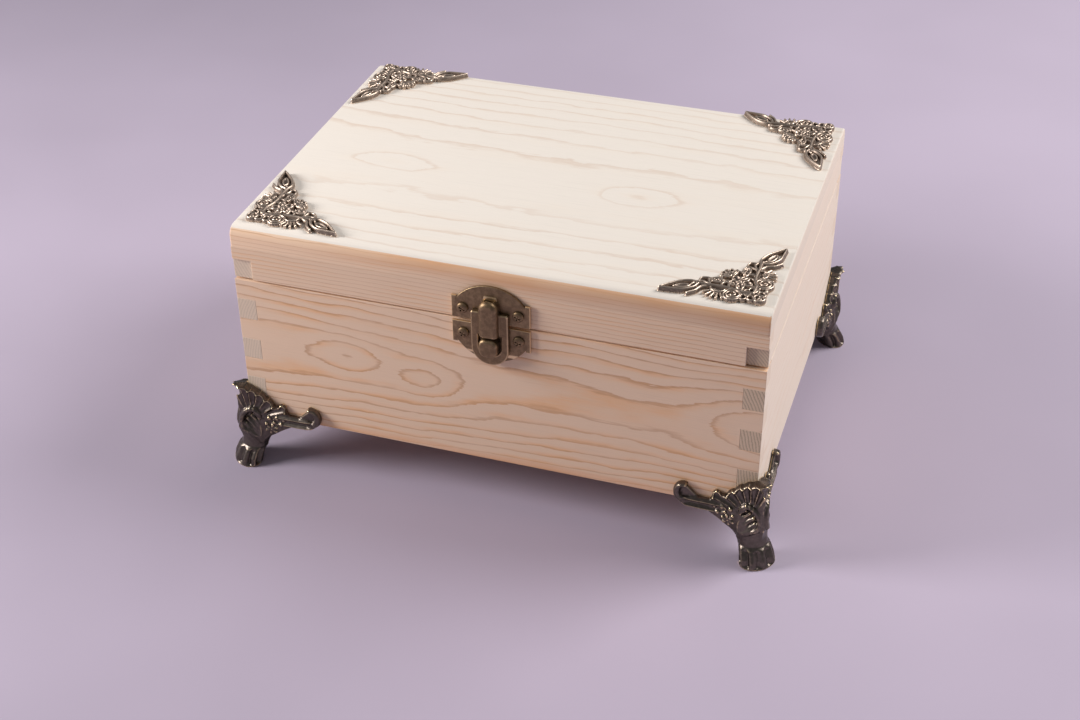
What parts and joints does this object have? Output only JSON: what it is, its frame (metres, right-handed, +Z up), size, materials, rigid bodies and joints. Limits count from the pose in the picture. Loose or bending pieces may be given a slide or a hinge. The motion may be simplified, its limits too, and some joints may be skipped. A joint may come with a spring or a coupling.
{
  "type": "wooden storage box",
  "caption": "Finger-jointed wooden box with a hinged lid, a hasp latch with a lifting flap, pierced metal corner ornaments and cast metal corner feet.",
  "frame": {"origin": "on the surface that the box stands on, under the middle of the box", "axes": "+X along the box's length, to the right seen from the front; +Y towards the hinges at the back; +Z up"},
  "size_m": [0.2182, 0.1642, 0.1069],
  "materials": {
    "wood_pale": "unfinished, sanded",
    "wood_warm": "unfinished, sanded",
    "plywood": "unfinished",
    "cast_bronze": "antique, dark with worn edges",
    "antique_filigree": "antique, grey-brown with worn edges",
    "antique_brass": "antique, satin",
    "screw": "antique, satin"
  },
  "bodies": {
    "base": {"base_front_board": "wood_warm", "base_back_board": "wood_warm", "base_left_board": "wood_pale", "base_right_board": "wood_pale", "base_bottom_panel": "plywood", "foot_front_left": "cast_bronze", "foot_front_right": "cast_bronze", "foot_back_left": "cast_bronze", "foot_back_right": "cast_bronze", "foot_front_left_screw_1": "screw", "foot_front_left_screw_2": "screw", "foot_front_right_screw_1": "screw", "foot_front_right_screw_2": "screw", "foot_back_left_screw_1": "screw", "foot_back_left_screw_2": "screw", "foot_back_right_screw_1": "screw", "foot_back_right_screw_2": "screw", "latch_lower_plate": "antique_brass", "latch_knob": "antique_brass", "latch_lower_screw_1": "screw", "latch_lower_screw_2": "screw", "hinge_left_base_leaf": "antique_brass", "hinge_left_pin": "antique_brass", "hinge_right_base_leaf": "antique_brass", "hinge_right_pin": "antique_brass", "hinge_left_base_screw_1": "screw", "hinge_left_base_screw_2": "screw", "hinge_right_base_screw_1": "screw", "hinge_right_base_screw_2": "screw"},
    "lid": {"lid_top_panel": "wood_pale", "lid_front_rail": "wood_warm", "lid_back_rail": "wood_warm", "lid_left_rail": "wood_pale", "lid_right_rail": "wood_pale", "ornament_front_left": "antique_filigree", "ornament_front_right": "antique_filigree", "ornament_back_left": "antique_filigree", "ornament_back_right": "antique_filigree", "latch_upper_plate": "antique_brass", "latch_pin": "antique_brass", "latch_upper_screw_1": "screw", "latch_upper_screw_2": "screw", "hinge_left_lid_leaf": "antique_brass", "hinge_right_lid_leaf": "antique_brass", "hinge_left_lid_screw_1": "screw", "hinge_left_lid_screw_2": "screw", "hinge_right_lid_screw_1": "screw", "hinge_right_lid_screw_2": "screw"},
    "flap": {"latch_flap": "antique_brass"}
  },
  "joints": [
    {"name": "lid_hinge", "type": "hinge", "parent": "base", "child": "lid", "pos_m": [0, 0.0752, 0.0833], "axis": [-1, 0, 0], "range_deg": [0, 105]},
    {"name": "flap_hinge", "type": "hinge", "parent": "lid", "child": "flap", "pos_m": [0.001, -0.0765, 0.0922], "axis": [-1, 0, 0], "range_deg": [0, 90]}
  ]
}
